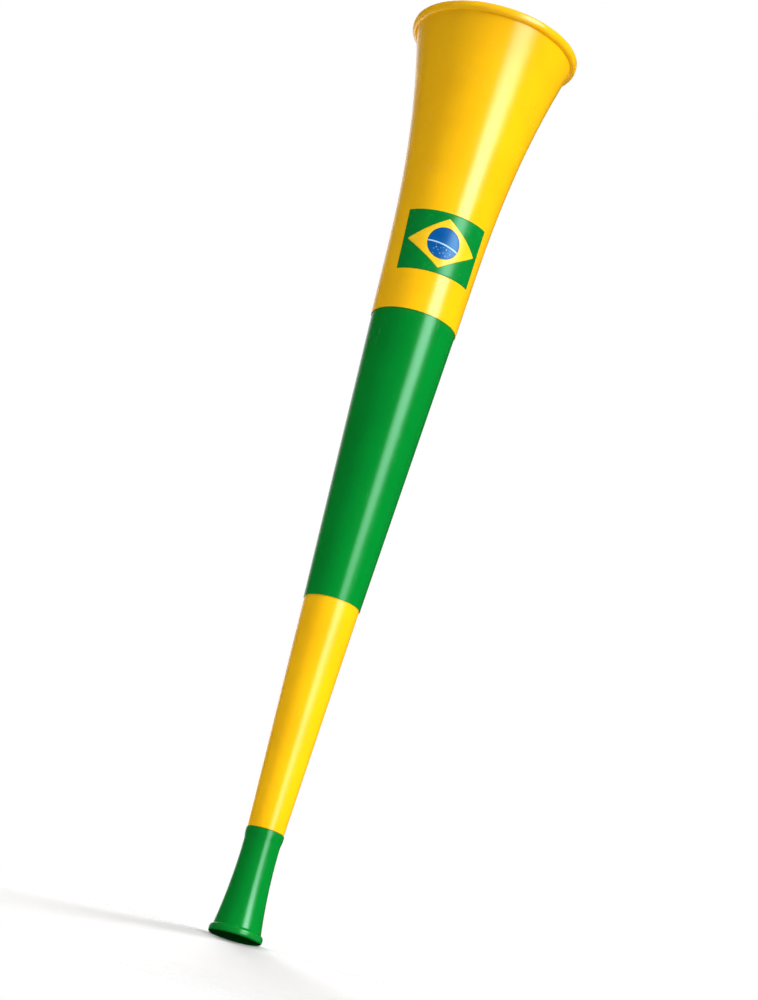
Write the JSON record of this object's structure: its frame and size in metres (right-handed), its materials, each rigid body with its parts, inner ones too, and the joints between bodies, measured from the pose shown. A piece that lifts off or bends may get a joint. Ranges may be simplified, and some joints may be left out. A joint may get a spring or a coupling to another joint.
{
  "type": "stadium horn",
  "caption": "Long straight plastic fan horn with a flared bell, telescoping tapered sections and a plug-on cup mouthpiece, in green and yellow.",
  "frame": {"origin": "centre of the mouthpiece's rim plane, which the horn stands on", "axes": "+Z along the horn's axis from the mouthpiece to the bell; the printed flag faces -Y"},
  "size_m": [0.1128, 0.1128, 0.621],
  "materials": {
    "green_plastic": "glossy injection-moulded polypropylene",
    "yellow_plastic": "glossy injection-moulded polypropylene"
  },
  "bodies": {
    "mouthpiece": {"mouthpiece": "green_plastic"},
    "lower": {"lower_section": "yellow_plastic"},
    "middle": {"middle_section": "green_plastic"},
    "bell": {"bell": "yellow_plastic"}
  },
  "joints": [
    {"name": "mouthpiece_plug", "type": "slide", "parent": "mouthpiece", "child": "lower", "axis": [0, 0, 1], "range_m": [0, 0.026]},
    {"name": "lower_telescope", "type": "slide", "parent": "lower", "child": "middle", "axis": [0, 0, -1], "range_m": [0, 0.198]},
    {"name": "bell_telescope", "type": "slide", "parent": "middle", "child": "bell", "axis": [0, 0, -1], "range_m": [0, 0.181]}
  ]
}
